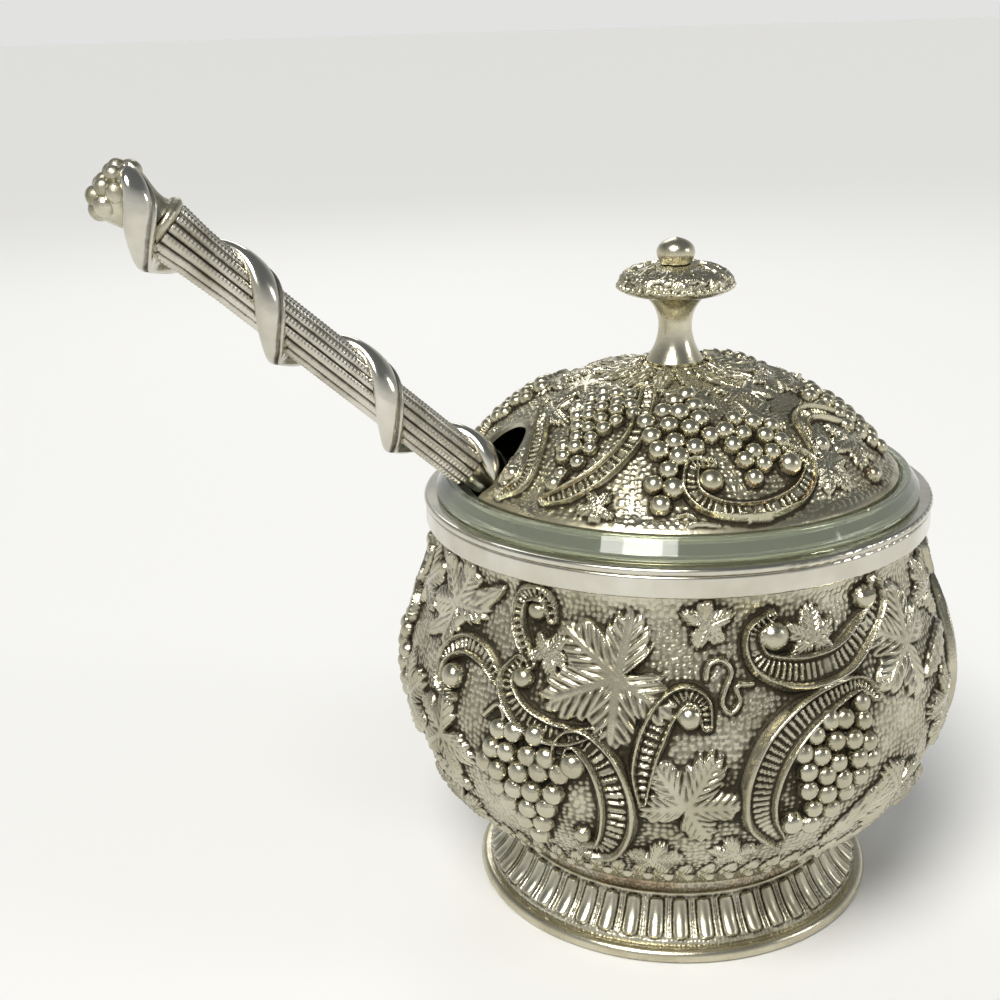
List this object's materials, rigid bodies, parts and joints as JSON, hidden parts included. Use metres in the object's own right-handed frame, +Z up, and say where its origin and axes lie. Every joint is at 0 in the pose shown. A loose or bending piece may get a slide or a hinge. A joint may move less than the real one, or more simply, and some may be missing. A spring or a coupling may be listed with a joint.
{
  "type": "mustard pot",
  "caption": "Footed, embossed mustard pot with a glass liner, a notched lift-off dome lid with a mushroom finial, and a ladle with a fluted, ribbon-wound handle.",
  "frame": {"origin": "centre of the foot's underside, on the pot's axis, on the surface it stands on", "axes": "+Z up along the pot's axis; -X towards the ladle's handle, which leans out over the rim; +Y across it"},
  "size_m": [0.1181, 0.0808, 0.1108],
  "materials": {
    "silver_body": "embossed silver plate, darkened in the hollows",
    "silver_lid": "embossed silver plate, worn bright on the high spots",
    "silver_foot": "silver plate, worn to a warm tone at the waist",
    "silver_bright": "polished silver plate",
    "silver_handle": "cast silver plate, darkened in the flutes",
    "glass": "clear pressed glass with a faint green tone",
    "brass_fixing": "plain brass"
  },
  "bodies": {
    "pot": {"foot": "silver_foot", "foot_rim_wire": "silver_foot", "bowl_shell": "silver_body", "collar_band": "silver_bright", "collar_lip": "silver_bright"},
    "liner": {"glass_liner": "glass"},
    "spoon": {"handle_column": "silver_handle", "handle_ribbon": "silver_handle", "handle_crown": "silver_handle", "spoon_ferrule": "silver_handle", "spoon_shank": "silver_bright", "spoon_bowl": "silver_bright"},
    "lid": {"lid_dome": "silver_lid", "lid_bezel": "silver_bright", "finial_stem": "silver_lid", "finial_cap": "silver_lid", "finial_bud": "silver_lid", "finial_stud": "brass_fixing", "finial_washer": "brass_fixing", "finial_nut": "brass_fixing"}
  },
  "joints": [
    {"name": "liner_lift", "type": "slide", "parent": "pot", "child": "liner", "axis": [0, 0, 1], "range_m": [0, 0.06]},
    {"name": "spoon_lift", "type": "slide", "parent": "liner", "child": "spoon", "axis": [0, 0, 1], "range_m": [0, 0.07]},
    {"name": "lid_lift", "type": "slide", "parent": "spoon", "child": "lid", "axis": [0, 0, 1], "range_m": [0, 0.06]}
  ]
}
